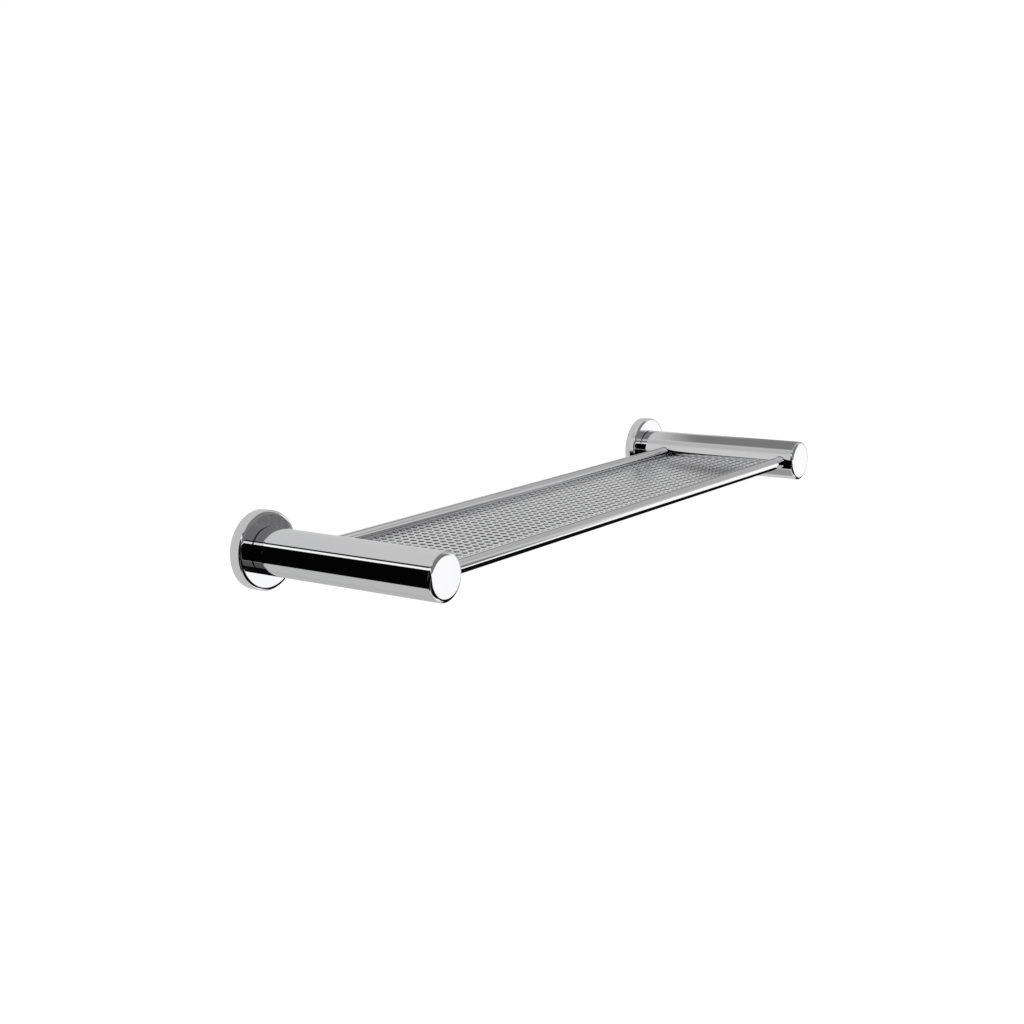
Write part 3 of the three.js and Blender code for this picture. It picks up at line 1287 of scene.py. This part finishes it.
@dataclass(frozen=True)
class Post(SubAssembly):
    """A post with its cap, its plug and all that fastens it.

    Args:
        side: Its end of the rack.
        wall: Thickness of its tube.
        joint: Width and depth of the groove at the tube's wall end, a dark joint at the rose.
        fit: Between a piece and the hole that it fits in.
        cap_edge: Size of the cap's rounded front edge, back along its wall and across its face.
        cap_thickness: Thickness of the cap in front of the tube.
        spigot: Radius of the rear plug's spigot.
        bolt_hole: Radius of the holes that the post's screw passes.
        bolt: Radius of that screw's shank.
        bolt_head: Height of its head.
        bolt_pitch: Pitch of its thread.
        bolt_socket: Its key socket.
        chamfer: Chamfer on turned edges.
        rail_window: Half the width of the block of grid cells round a rail's hole, twice a set screw's.
        rail_cells: Cells along each side of that block, twice those round a set screw's hole.
        step: The widest steps between the tube's grid lines, round the axis and along it.
        cap_steps: Steps on the cap's rounded edge.
        cap_facets: Grid lines round the cap.
        plug_facets: Grid lines round the rear plug.
        washer_facets: Grid lines round the washer.
        bolt_facets: Grid lines round the post's screw.
    """

    side: Side
    wall: float = 2.5 * MM
    joint: Pair = (0.7 * MM, 1.4 * MM)
    fit: float = 0.3 * MM
    cap_edge: Pair = (1.8 * MM, 3.0 * MM)
    cap_thickness: float = 3.0 * MM
    spigot: float = 7.0 * MM
    bolt_hole: float = 3.3 * MM
    bolt: float = 3.0 * MM
    bolt_head: float = 3.3 * MM
    bolt_pitch: float = 1.0 * MM
    bolt_socket: HexSocket = HexSocket(4.0 * MM, 2.0 * MM)
    chamfer: float = 0.25 * MM
    rail_window: float = 7.0 * MM
    rail_cells: int = 12
    step: Pair = (math.radians(2.8), 8.0 * MM)
    cap_steps: int = 12
    cap_facets: int = 128
    plug_facets: int = 72
    washer_facets: int = 60
    bolt_facets: int = 48

    def measured(self, part: str) -> Turned:
        """The measures of one of the post's round parts, with heights counted from the wall."""
        return Turned.measured(self.side.node(part), along=(0, -1, 0), first=(self.side.value, 0, 0))

    def pieces(self) -> Iterator[Piece]:
        """Every piece of the post."""
        yield self.tube()
        yield self.cap()
        yield self.rear_plug()
        yield self.washer()
        yield self.bolt_piece()
        for place in ("rear", "front"):
            node = self.side.node(f"{place}_rail_set_screw")
            yield from SetScrew(node, **RAIL_SET_SCREW).pieces()

    def tube(self) -> Piece:
        """The tube, drilled for each rail from inside and for each set screw from below."""
        tube = self.measured("post_tube")
        down = tube.axis.angle_of((0, 0, -1)) % (2 * math.pi)
        bores = []
        for place in ("rear", "front"):
            rail = Turned.measured(f"{place}_rail", along=(1, 0, 0), first=(0, 0, 1))
            screw_node = self.side.node(f"{place}_rail_set_screw")
            screw = Turned.measured(screw_node, along=(0, 0, 1), first=(1, 0, 0))
            distance = -float(rail.axis.origin[1])
            rail_bore, screw_bore = rail.radius + self.fit, screw.radius + self.fit
            bores.append(Bore(rail_bore, 0.0, distance, self.rail_window, self.rail_cells))
            bores.append(Bore(screw_bore, down, distance, self.rail_window / 2, self.rail_cells // 2))
        inner, back = tube.radius - self.wall, tube.start + self.joint[0]
        walls, turns = drilled_tube(tube.axis, tube.radius, inner, (back, tube.end), bores, self.step)
        neck = tube.radius - self.joint[1]
        rear = Outline((inner, back)).line(inner + self.chamfer, tube.start, edge=1.0)
        rear.line(neck, tube.start).line(neck, back).line(tube.radius, back)
        front = Outline((tube.radius, tube.end)).line(inner, tube.end)
        ends = revolve(rear, tube.axis, turns) + revolve(front, tube.axis, turns)
        return Piece(self.side.node("post_tube"), CHROME, walls + ends)

    def cap(self) -> Piece:
        """The cap: a disc with a rounded front edge and a spigot in the tube."""
        cap = self.measured("post_end_cap")
        seat, spigot = cap.end - self.cap_thickness, cap.radius - self.wall - self.fit
        outline = Outline((0, cap.start)).line(spigot - self.chamfer, cap.start)
        outline.line(spigot, cap.start + self.chamfer, edge=1.0).line(spigot, seat).line(cap.radius, seat)
        outline.corner(cap.radius, cap.end, self.cap_edge, self.cap_steps).line(0, cap.end, steps=4)
        patches = revolve(outline, cap.axis, even_angles(self.cap_facets))
        return Piece(self.side.node("post_end_cap"), CHROME, patches)

    def rear_plug(self) -> Piece:
        """The plug that is pressed into the tube's wall end and tapped for the post's screw."""
        plug, seat = self.measured("post_rear_plug"), self.measured("post_tube").start
        outline = Outline((self.bolt_hole, plug.start)).line(self.spigot - self.chamfer, plug.start)
        outline.line(self.spigot, plug.start + self.chamfer, edge=1.0).line(self.spigot, seat)
        outline.line(plug.radius, seat).line(plug.radius, plug.end - self.chamfer)
        outline.line(plug.radius - self.chamfer, plug.end, edge=1.0).line(self.bolt_hole, plug.end)
        outline.line(self.bolt_hole, plug.start)
        patches = revolve(outline, plug.axis, even_angles(self.plug_facets))
        return Piece(self.side.node("post_rear_plug"), RAW_BRASS, patches)

    def washer(self) -> Piece:
        """The washer between the screw's head and the rose."""
        washer = self.measured("post_washer")
        outline = blank(self.bolt_hole, washer.radius, washer.start, washer.end, self.chamfer)
        patches = revolve(outline, washer.axis, even_angles(self.washer_facets))
        return Piece(self.side.node("post_washer"), SCREW_STEEL, patches)

    def bolt_piece(self) -> Piece:
        """The screw that pulls the post on to the rose."""
        bolt, turns = self.measured("post_screw"), even_angles(self.bolt_facets)
        face, seat, chamfer = bolt.radius - self.chamfer, bolt.start + self.bolt_head, self.chamfer
        head = Outline((face, bolt.start)).line(bolt.radius, bolt.start + chamfer, edge=1.0)
        head.line(bolt.radius, seat).line(self.bolt, seat)
        end = Outline((self.bolt, bolt.end - chamfer)).line(self.bolt - chamfer, bolt.end, edge=1.0)
        end.line(0, bolt.end)
        patches = self.bolt_socket.cut(bolt.axis, bolt.start, face, turns)
        patches += revolve(head, bolt.axis, turns) + revolve(end, bolt.axis, turns)
        patches.append(thread(bolt.axis, self.bolt, self.bolt_pitch, (seat, bolt.end - chamfer), turns))
        return Piece(self.side.node("post_screw"), SCREW_STEEL, patches)


@dataclass(frozen=True)
class Rail(SubAssembly):
    """A rail with a plug in each end.

    Args:
        place: Front or rear.
        wall: Thickness of its tube.
        chamfer: Chamfer on its ends and its plugs.
        facets: Grid lines round it.
    """

    place: str
    wall: float = 1.2 * MM
    chamfer: float = 0.3 * MM
    facets: int = 72

    def pieces(self) -> Iterator[Piece]:
        """The rail and its plugs."""
        node, turns = f"{self.place}_rail", even_angles(self.facets)
        rail = Turned.measured(node, along=(1, 0, 0), first=(0, 0, 1))
        outline = blank(rail.radius - self.wall, rail.radius, rail.start, rail.end, self.chamfer)
        yield Piece(node, CHROME, revolve(outline, rail.axis, turns))
        for side in Side:
            plug_node = f"{node}_{side.name.lower()}_plug"
            plug = Turned.measured(plug_node, along=(1, 0, 0), first=(0, 0, 1))
            plug_outline = blank(0.0, plug.radius, plug.start, plug.end, self.chamfer)
            yield Piece(plug_node, RAW_BRASS, revolve(plug_outline, plug.axis, turns))


@dataclass(frozen=True)
class Shelf(SubAssembly):
    """The perforated sheet between the rails, with its long edges folded down.

    Args:
        thickness: Thickness of the sheet.
        fold: Outer radius of its folds.
        columns: Holes along the rails.
        rows: Holes from rail to rail.
        pitch: Between holes along the rails.
        row_pitch: Between rows of holes.
        hole: Radius of a hole.
        seam: How far each fold keeps short of its solid, which leaves a fine dark line at the rail.
        margin: Between the first and last row's cells and the folds' inner faces.
        sides: Grid lines along each side of a hole's square cell.
        fold_steps: Steps on a fold.
    """

    thickness: float = 1.2 * MM
    fold: float = 0.8 * MM
    columns: int = 66
    rows: int = 15
    pitch: float = 7.0 * MM
    row_pitch: float = 6.93 * MM
    hole: float = 2.25 * MM
    seam: float = 0.15 * MM
    margin: float = 0.05 * MM
    sides: int = 4
    fold_steps: int = 6

    def pieces(self) -> Iterator[Piece]:
        """The sheet."""
        node = "perforated_shelf"
        low, high = (np.array(corner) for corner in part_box(node))
        middle, half = (low + high) / 2, (high - low) / 2
        edge = half[1] - self.seam
        inside, under = edge - self.thickness, high[2] - self.thickness
        holes = [
            middle[0] + (np.arange(self.columns) - (self.columns - 1) / 2) * self.pitch,
            middle[1] + (np.arange(self.rows) - (self.rows - 1) / 2) * self.row_pitch,
        ]
        centres = np.stack(np.meshgrid(*holes), axis=-1).reshape(-1, 2)
        cell = self.square(self.pitch / 2, self.row_pitch / 2, self.sides, self.sides)
        turns = (np.arange(4 * self.sides) / self.sides - 1.5) * (math.pi / 2)
        rim = self.hole * np.stack([np.cos(turns), np.sin(turns)], axis=-1)
        across, along = self.columns * self.sides, self.rows * self.sides
        field = np.array([self.columns * self.pitch / 2, self.rows * self.row_pitch / 2])
        limit = np.array([field[0], inside - self.margin])
        field_edge = np.clip(self.square(*field, across, along), -limit, limit)
        cells = np.clip(centres[:, None] + cell, middle[:2] - limit, middle[:2] + limit)
        rims = centres[:, None] + rim
        patches = [self.hole_walls(rims, rim, (high[2], under))]
        for level, flat, up in ((high[2], edge - self.fold, True), (under, inside, False)):
            flat_edge = self.square(half[0], flat, across, along)
            patches.append(self.flat_rings(cells, rims, level, up))
            borders = middle[:2] + np.stack([flat_edge, field_edge])
            patches.append(self.flat_rings(*borders[:, None], level, up))
        profile = Outline((inside, under)).line(inside, low[2]).line(edge, low[2], edge=1.0)
        profile.corner(edge, high[2], (self.fold, self.fold), self.fold_steps)
        patches += self.folds(profile, middle, half[0] * np.linspace(-1.0, 1.0, across + 1))
        patches += self.ends(profile, middle, half[0], np.linspace(-1.0, 1.0, along + 1)[1:-1])
        yield Piece(node, SHELF_STEEL, patches)

    @staticmethod
    def square(half_x: float, half_y: float, across: int, along: int) -> np.ndarray:
        """Points once round a rectangle's border from its lowest corner, anticlockwise.

        Args:
            half_x: Half its length.
            half_y: Half its width.
            across: Steps on each long side.
            along: Steps on each short side.

        Returns:
            One row of x and y for each point.
        """
        x, y = np.arange(across) / across * 2 - 1, np.arange(along) / along * 2 - 1
        columns = np.concatenate([x, np.ones(along), -x, -np.ones(along)])
        rows = np.concatenate([-np.ones(across), y, np.ones(across), -y])
        return np.stack([columns * half_x, rows * half_y], axis=-1)

    @staticmethod
    def flat_rings(outer: np.ndarray, inner: np.ndarray, level: float, up: bool) -> Patch:
        """Flat rings at one level, each between an outer and an inner border with as many points.

        Args:
            outer: The outer borders.
            inner: The inner borders.
            level: Their height.
            up: Whether they face up.

        Returns:
            The patch.
        """
        rings = np.concatenate([outer, inner], axis=1)
        count = rings.shape[1]
        points = np.concatenate([rings.reshape(-1, 2), np.full((len(rings) * count, 1), level)], axis=1)
        quads = grid_quads(2, count // 2, around=True)[None] + np.arange(len(rings))[:, None, None] * count
        quads = quads.reshape(-1, 4)
        facing = np.broadcast_to((0.0, 0.0, 1.0 if up else -1.0), points.shape)
        return Patch(points, facing, quads if up else quads[:, ::-1])

    @staticmethod
    def hole_walls(rims: np.ndarray, rim: np.ndarray, levels: Pair) -> Patch:
        """The holes' upright walls from one level to the other, with the rim that they all have.

        Args:
            rims: Each hole's rim.
            rim: The rim round the origin, which gives the normals.
            levels: Heights of the walls' two ends.

        Returns:
            The patch.
        """
        count = len(rim)
        rings = [np.concatenate([rims, np.full((*rims.shape[:2], 1), level)], axis=2) for level in levels]
        points = np.concatenate(rings, axis=1).reshape(-1, 3)
        quads = grid_quads(2, count, around=True)[None] + np.arange(len(rims))[:, None, None] * 2 * count
        inward = np.column_stack([-rim, np.zeros(count)])
        return Patch(points, np.tile(inward, (2 * len(rims), 1)), quads.reshape(-1, 4))

    @staticmethod
    def folds(profile: Outline, middle: np.ndarray, lines: np.ndarray) -> list[Patch]:
        """The folded long edges: the fold's outline, drawn along the rails.

        Args:
            profile: Outline of distance from the sheet's middle line and height.
            middle: The sheet's middle.
            lines: Grid lines along the rails.

        Returns:
            The patches.
        """
        patches = []
        for side in (-1.0, 1.0):
            x = middle[0] - side * lines
            for points, normals, edge in profile.stretches:
                y, z = middle[1] + side * points[:, :1], points[:, 1:]
                placed = np.stack(np.broadcast_arrays(x[None, :], y, z), axis=-1)
                facing = np.column_stack([np.zeros(len(points)), side * normals[:, 0], normals[:, 1]])
                quads = grid_quads(len(points), len(lines), around=False)
                facing = np.repeat(facing, len(lines), axis=0)
                patches.append(Patch(placed.reshape(-1, 3), facing, quads, edge))
        return patches

    @staticmethod
    def ends(profile: Outline, middle: np.ndarray, half: float, lines: np.ndarray) -> list[Patch]:
        """The two short ends, each a strip between the line of the sheet's upper side and that of its lower.

        Args:
            profile: Outline of a fold, as for the long edges.
            middle: The sheet's middle.
            half: Half the sheet's length.
            lines: Grid lines across the flat part, as shares of half its width, without the first and last.

        Returns:
            The patches.
        """
        inside, bottom, _, arc = (points for points, _, _ in profile.stretches)
        upper = np.concatenate([arc[::-1], bottom[-1:]])
        lower = np.concatenate([np.repeat(inside[:1], len(arc), axis=0), bottom[:1]])
        strips = []
        for line in (lower, upper):
            flat = np.column_stack([line[0, 0] * lines, np.full(len(lines), line[0, 1])])
            strips.append(np.concatenate([line[::-1] * (-1.0, 1.0), flat, line]))
        section = np.concatenate(strips)
        quads = grid_quads(2, len(strips[0]), around=False)
        patches = []
        for side in (-1.0, 1.0):
            x = np.full(len(section), middle[0] + side * half)
            points = np.column_stack([x, middle[1] + section[:, 0], section[:, 1]])
            facing = np.broadcast_to((side, 0.0, 0.0), points.shape)
            patches.append(Patch(points, facing, quads if side > 0 else quads[:, ::-1], 1.0))
        return patches


# ---- Studio ----


DISPLAY_OFFSET = 0.055  # of the display's tone curve
DISPLAY_POWER = 2.4


def emitted(tone: float) -> float:
    """The light that a card sends out so that clean chrome shows it at a display tone between 0 and 1.

    The tone plus the curve's offset, over 1 plus that offset, is raised to the curve's power. What chrome
    mirrors is darker by its own colour, so the result is divided by that.

    Args:
        tone: The display tone.

    Returns:
        The strength of the emission.
    """
    return ((tone + DISPLAY_OFFSET) / (1.0 + DISPLAY_OFFSET)) ** DISPLAY_POWER / CHROME.colour[0]


@dataclass(frozen=True)
class Card:
    """A soft-edged card of the studio, as a block of the directions in which it stands.

    Args:
        lean: Range of its lean, in degrees about the Y axis: 0 is up, 90 towards -X and -90 towards +X.
        depth: Range of the direction's share along +Y.
        tone: The display tone at which clean chrome shows it.
        lean_blur: Width of its soft edge in lean, in degrees.
        depth_blur: Width of its soft edge in depth.
    """

    lean: Pair
    depth: Pair
    tone: float
    lean_blur: float = 3.0
    depth_blur: float = 0.05

    def mask(self, graph: Graph, lean: Socket, depth: Socket) -> Socket:
        """How much of a direction the card fills.

        Args:
            graph: The surroundings' nodes.
            lean: The direction's lean.
            depth: Its share along +Y.

        Returns:
            A share from 0 to 1.
        """
        share: object = 1.0
        ways = ((lean, self.lean, self.lean_blur), (depth, self.depth, self.depth_blur))
        for value, (low, high), blur in ways:
            share = graph.maths("MULTIPLY", share, graph.ramp(value, low - blur / 2, low + blur / 2))
            share = graph.maths("MULTIPLY", share, graph.ramp(value, high + blur / 2, high - blur / 2))
        return share


@dataclass(frozen=True)
class Studio:
    """Pale surroundings with soft cards, a lamp overhead and a pale floor far below the rack.

    Args:
        pale: Display tone of the surroundings in clean chrome.
        white: Strength of the surroundings as the camera sees them.
        cards: The cards, each over the ones before it.
        floor_level: Height of the floor.
        floor_size: Half the floor's width.
        floor_colour: The floor's colour.
        floor_share: How much of the floor's brightness comes from the lamp, which gives the shadow its depth.
        floor_dim: How far the floor's own glow stays below full white, as a share of the lamp's part.
        lamp_level: Height of the lamp.
        lamp_size: Its width.
        lamp_power: Its power in watts.
        back_card: Inner and outer radius of the pale card round each rose's foot.
        back_tone: Its display tone in clean chrome.
        back_gap: Between that card and the wall's plane.
        back_facets: Grid lines round it.
    """

    cards: Sequence[Card]
    pale: float = 0.76
    white: float = 1.02
    floor_level: float = -0.9
    floor_size: float = 60.0
    floor_colour: float = 0.8
    floor_share: float = 0.3
    floor_dim: float = 0.42
    lamp_level: float = 2.2
    lamp_size: float = 1.0
    lamp_power: float = 40.0
    back_card: Pair = (28.0 * MM, 36.5 * MM)
    back_tone: float = 0.74
    back_gap: float = 1.0 * MM
    back_facets: int = 64

    def build(self) -> None:
        """Sets up the surroundings, the floor, the lamp and the cards round the roses."""
        self.surroundings()
        self.floor()
        self.lamp()
        for side in Side:
            self.rose_card(side)

    def surroundings(self) -> None:
        """The world: plain white to the camera, and the pale studio with its cards to everything else."""
        world = bpy.data.worlds.new("studio")
        graph = clean_graph(world)
        way = graph.add("ShaderNodeTexCoord").outputs["Generated"]
        parts = graph.add("ShaderNodeSeparateXYZ", {0: way}).outputs
        leftward = graph.maths("MULTIPLY", parts["X"], -1.0)
        lean = graph.maths("DEGREES", graph.maths("ARCTAN2", leftward, parts["Z"]))
        level: object = emitted(self.pale)
        for card in self.cards:
            share = card.mask(graph, lean, parts["Y"])
            step = graph.maths("SUBTRACT", emitted(card.tone), level)
            level = graph.maths("MULTIPLY_ADD", share, step, level)
        seen = graph.add("ShaderNodeLightPath").outputs["Is Camera Ray"]
        shown = graph.maths("MULTIPLY_ADD", seen, graph.maths("SUBTRACT", self.white, level), level)
        background = graph.add("ShaderNodeBackground", {"Color": (1.0, 1.0, 1.0, 1.0), "Strength": shown})
        graph.add("ShaderNodeOutputWorld", {"Surface": background.outputs[0]})
        bpy.context.scene.world = world

    def floor(self) -> None:
        """A pale floor that the camera sees as white apart from the shadow, and not at all from below."""
        material = bpy.data.materials.new("pale floor")
        graph = clean_graph(material)
        plain, lit = (
            graph.add("ShaderNodeBsdfDiffuse", {"Color": (level, level, level, 1.0)}).outputs[0]
            for level in (self.floor_colour, self.floor_share)
        )
        glow = 1.0 - self.floor_dim * self.floor_share
        white = graph.add("ShaderNodeEmission", {"Strength": glow}).outputs[0]
        bright = graph.add("ShaderNodeAddShader", {0: lit, 1: white}).outputs[0]
        seen = graph.add("ShaderNodeLightPath").outputs["Is Camera Ray"]
        above = graph.add("ShaderNodeMixShader", {0: seen, 1: plain, 2: bright}).outputs[0]
        below = graph.add("ShaderNodeBsdfTransparent").outputs[0]
        back = graph.add("ShaderNodeNewGeometry").outputs["Backfacing"]
        surface = graph.add("ShaderNodeMixShader", {0: back, 1: above, 2: below}).outputs[0]
        graph.add("ShaderNodeOutputMaterial", {"Surface": surface})
        corners = [(-1, -1), (1, -1), (1, 1), (-1, 1)]
        points = [(x * self.floor_size, y * self.floor_size, self.floor_level) for x, y in corners]
        floor = self.staged("floor", points, [(0, 1, 2, 3)], material)
        floor.visible_glossy = False

    def lamp(self) -> None:
        """A wide soft lamp above the rack, which the metal doesn't mirror."""
        light = bpy.data.lights.new("overhead", "AREA")
        light.shape, light.size, light.energy = "DISK", self.lamp_size, self.lamp_power
        lamp = bpy.data.objects.new("overhead", light)
        lamp.location = (0.0, 0.0, self.lamp_level)
        lamp.visible_glossy = False
        lamp.visible_camera = False
        bpy.context.scene.collection.objects.link(lamp)

    def rose_card(self, side: Side) -> None:
        """A pale card flat behind a rose, in the place of the wall: the rose's rim mirrors it.

        Args:
            side: The rose's end of the rack.
        """
        rose = Turned.measured(side.node("rose"), along=(0, 1, 0), first=(1, 0, 0))
        turns = even_angles(self.back_facets)
        levels = np.full(self.back_facets, self.back_gap)
        rings = [rose.axis.place(np.array(radius), levels, turns) for radius in self.back_card]
        material = bpy.data.materials.new(side.node("rose_card"))
        graph = clean_graph(material)
        glow = graph.add("ShaderNodeEmission", {"Strength": emitted(self.back_tone)}).outputs[0]
        graph.add("ShaderNodeOutputMaterial", {"Surface": glow})
        quads = grid_quads(2, self.back_facets, around=True).tolist()
        card = self.staged(side.node("rose_card"), np.concatenate(rings).tolist(), quads, material)
        card.visible_camera = False
        card.visible_diffuse = False
        card.visible_shadow = False

    @staticmethod
    def staged(
        name: str, points: Sequence[Sequence[float]], faces: Sequence[Sequence[int]], look: bpy.types.Material
    ) -> bpy.types.Object:
        """Makes an object of the studio, which isn't part of the rack.

        Args:
            name: Its name.
            points: Its points.
            faces: Point numbers of its faces.
            look: Its material.

        Returns:
            The object.
        """
        mesh = bpy.data.meshes.new(name)
        mesh.from_pydata(points, [], faces)
        mesh.materials.append(look)
        made = bpy.data.objects.new(name, mesh)
        bpy.context.scene.collection.objects.link(made)
        return made


CARDS = (
    Card(lean=(-101, 40), depth=(-1.2, -0.60), tone=0.45, lean_blur=6.0, depth_blur=0.06),
    Card(lean=(-80, -50), depth=(-0.45, 0.35), tone=0.66, lean_blur=10.0, depth_blur=0.1),
    Card(lean=(-60, 18), depth=(0.30, 0.495), tone=0.465, lean_blur=14.0, depth_blur=0.03),
    Card(lean=(-101, -58), depth=(0.30, 0.468), tone=0.47, lean_blur=10.0, depth_blur=0.04),
    Card(lean=(-52, 22), depth=(-0.60, -0.30), tone=0.48, lean_blur=10.0, depth_blur=0.1),
    Card(lean=(-182, -166), depth=(0.20, 0.55), tone=0.57, lean_blur=8.0),
    Card(lean=(-182, -100), depth=(0.57, 0.85), tone=0.69, lean_blur=8.0),
    Card(lean=(54, 138), depth=(-1.2, 1.2), tone=0.0),
    Card(lean=(37.5, 44.5), depth=(-1.2, 1.2), tone=0.05),
    Card(lean=(46, 54), depth=(-1.2, 1.2), tone=0.98),
    Card(lean=(24, 96), depth=(0.425, 0.53), tone=0.70, lean_blur=14.0, depth_blur=0.01),
    Card(lean=(50, 92), depth=(0.425, 0.53), tone=0.78, lean_blur=20.0, depth_blur=0.01),
    Card(lean=(144, 182), depth=(0.20, 0.55), tone=0.57, lean_blur=8.0),
    Card(lean=(139, 182), depth=(0.57, 0.85), tone=0.715),
    Card(lean=(139, 182), depth=(-1.2, -0.64), tone=0.33),
    Card(lean=(171, 182), depth=(-1.2, -0.64), tone=0.04),
    Card(lean=(-182, -101), depth=(-1.2, -0.50), tone=0.98),
    Card(lean=(-113, -84), depth=(-0.56, -0.30), tone=0.98),
    Card(lean=(-142, -109), depth=(-0.30, 0.40), tone=0.04),
    Card(lean=(-134, -113), depth=(-0.66, -0.26), tone=0.04),
    Card(lean=(-182, -113.5), depth=(-1.2, -0.645), tone=0.04, depth_blur=0.02),
)


@dataclass(frozen=True)
class View:
    """The camera.

    Args:
        place: Where it stands.
        yaw: Its heading, from +Y towards +X, in degrees.
        pitch: How far it looks up, in degrees.
        roll: How far it is turned anticlockwise about its own axis, in degrees.
        lens: Focal length in millimetres.
        sensor: Width of the sensor in millimetres.
        reach: How far the camera sees.
    """

    place: tuple[float, float, float] = (-1.0004, -0.7588, 0.2300)
    yaw: float = 53.99
    pitch: float = -11.19
    roll: float = -1.346
    lens: float = 55.69
    sensor: float = 36.0
    reach: float = 200.0

    def build(self) -> None:
        """Makes the camera and gives it to the scene."""
        yaw, pitch, roll = (math.radians(angle) for angle in (self.yaw, self.pitch, self.roll))
        level = math.cos(pitch)
        ahead = np.array((math.sin(yaw) * level, math.cos(yaw) * level, math.sin(pitch)))
        flat = np.cross(ahead, (0.0, 0.0, 1.0))
        flat /= np.linalg.norm(flat)
        upright = np.cross(flat, ahead)
        right = math.cos(roll) * flat + math.sin(roll) * upright
        up = math.cos(roll) * upright - math.sin(roll) * flat
        data = bpy.data.cameras.new("camera")
        data.lens, data.sensor_width, data.clip_end = self.lens, self.sensor, self.reach
        camera = bpy.data.objects.new("camera", data)
        turned = Matrix(np.column_stack([right, up, -ahead]).tolist()).to_4x4()
        camera.matrix_world = Matrix.Translation(self.place) @ turned
        bpy.context.scene.collection.objects.link(camera)
        bpy.context.scene.camera = camera


def main() -> None:
    """Builds the rack and its studio."""
    logging.basicConfig(level=logging.INFO, format="%(name)s: %(message)s")
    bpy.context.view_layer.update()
    View().build()
    rack: list[SubAssembly] = [Rail("rear"), Rail("front"), Shelf()]
    for side in Side:
        rack += [WallBracket(side), Rose(side), Post(side)]
    for assembly in rack:
        assembly.build()
    Studio(CARDS).build()
    bpy.context.scene.view_settings.view_transform = "Standard"


if __name__ == "__main__":
    main()
